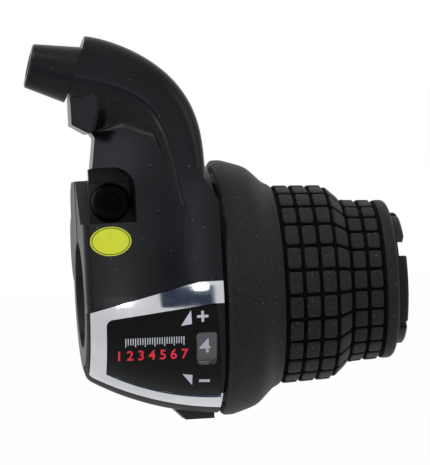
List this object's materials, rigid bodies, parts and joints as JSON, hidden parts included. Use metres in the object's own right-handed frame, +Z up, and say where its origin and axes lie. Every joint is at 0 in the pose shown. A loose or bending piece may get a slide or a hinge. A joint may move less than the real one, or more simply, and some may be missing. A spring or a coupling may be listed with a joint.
{
  "type": "twist grip shifter",
  "caption": "Handlebar twist shifter: rubber grip with a bell flange turns beside a moulded housing with a curved cable arm, chrome-framed gear indicator and bar clamp.",
  "frame": {"origin": "on the handlebar axis, in the plane of the grip's flange rim beside the housing", "axes": "+X outboard along the handlebar, +Z up, -Y towards the rider who looks at the indicator"},
  "size_m": [0.078, 0.0536, 0.0806],
  "materials": {
    "housing_plastic": "matte moulded",
    "cover_plastic": "fine moulded grain",
    "sleeve_plastic": "satin moulded",
    "inner_plastic": "natural acetal",
    "dial_plastic": "satin with pale numerals",
    "lens_black": "polished",
    "window_clear": "clear",
    "bezel_chrome": "plated",
    "steel": "zinc plated",
    "black_steel": "black oxide",
    "print_white": "printed",
    "print_red": "printed",
    "label_yellow": "printed label",
    "grip_rubber": "soft matte"
  },
  "bodies": {
    "housing": {"base_housing": "housing_plastic", "bar_sleeve": "sleeve_plastic", "front_cover": "cover_plastic", "indicator_bezel": "bezel_chrome", "indicator_lens": "lens_black", "indicator_window": "window_clear", "cable_nozzle": "cover_plastic", "cable_liner": "inner_plastic", "clamp_bolt": "black_steel", "clamp_washer": "black_steel", "clamp_nut": "steel", "cover_screws": "steel", "detent_spring": "steel", "spring_screw": "steel", "thrust_washer": "inner_plastic", "end_washer": "sleeve_plastic"},
    "grip": {"grip_core": "sleeve_plastic", "rubber_grip": "grip_rubber", "cable_spool": "inner_plastic", "detent_ring": "steel", "indicator_dial": "dial_plastic"}
  },
  "joints": [
    {"name": "grip_twist", "type": "hinge", "parent": "housing", "child": "grip", "pos_m": [0, 0, 0], "axis": [1, 0, 0], "range_deg": [-45, 45], "deforming": ["detent_spring"]}
  ]
}
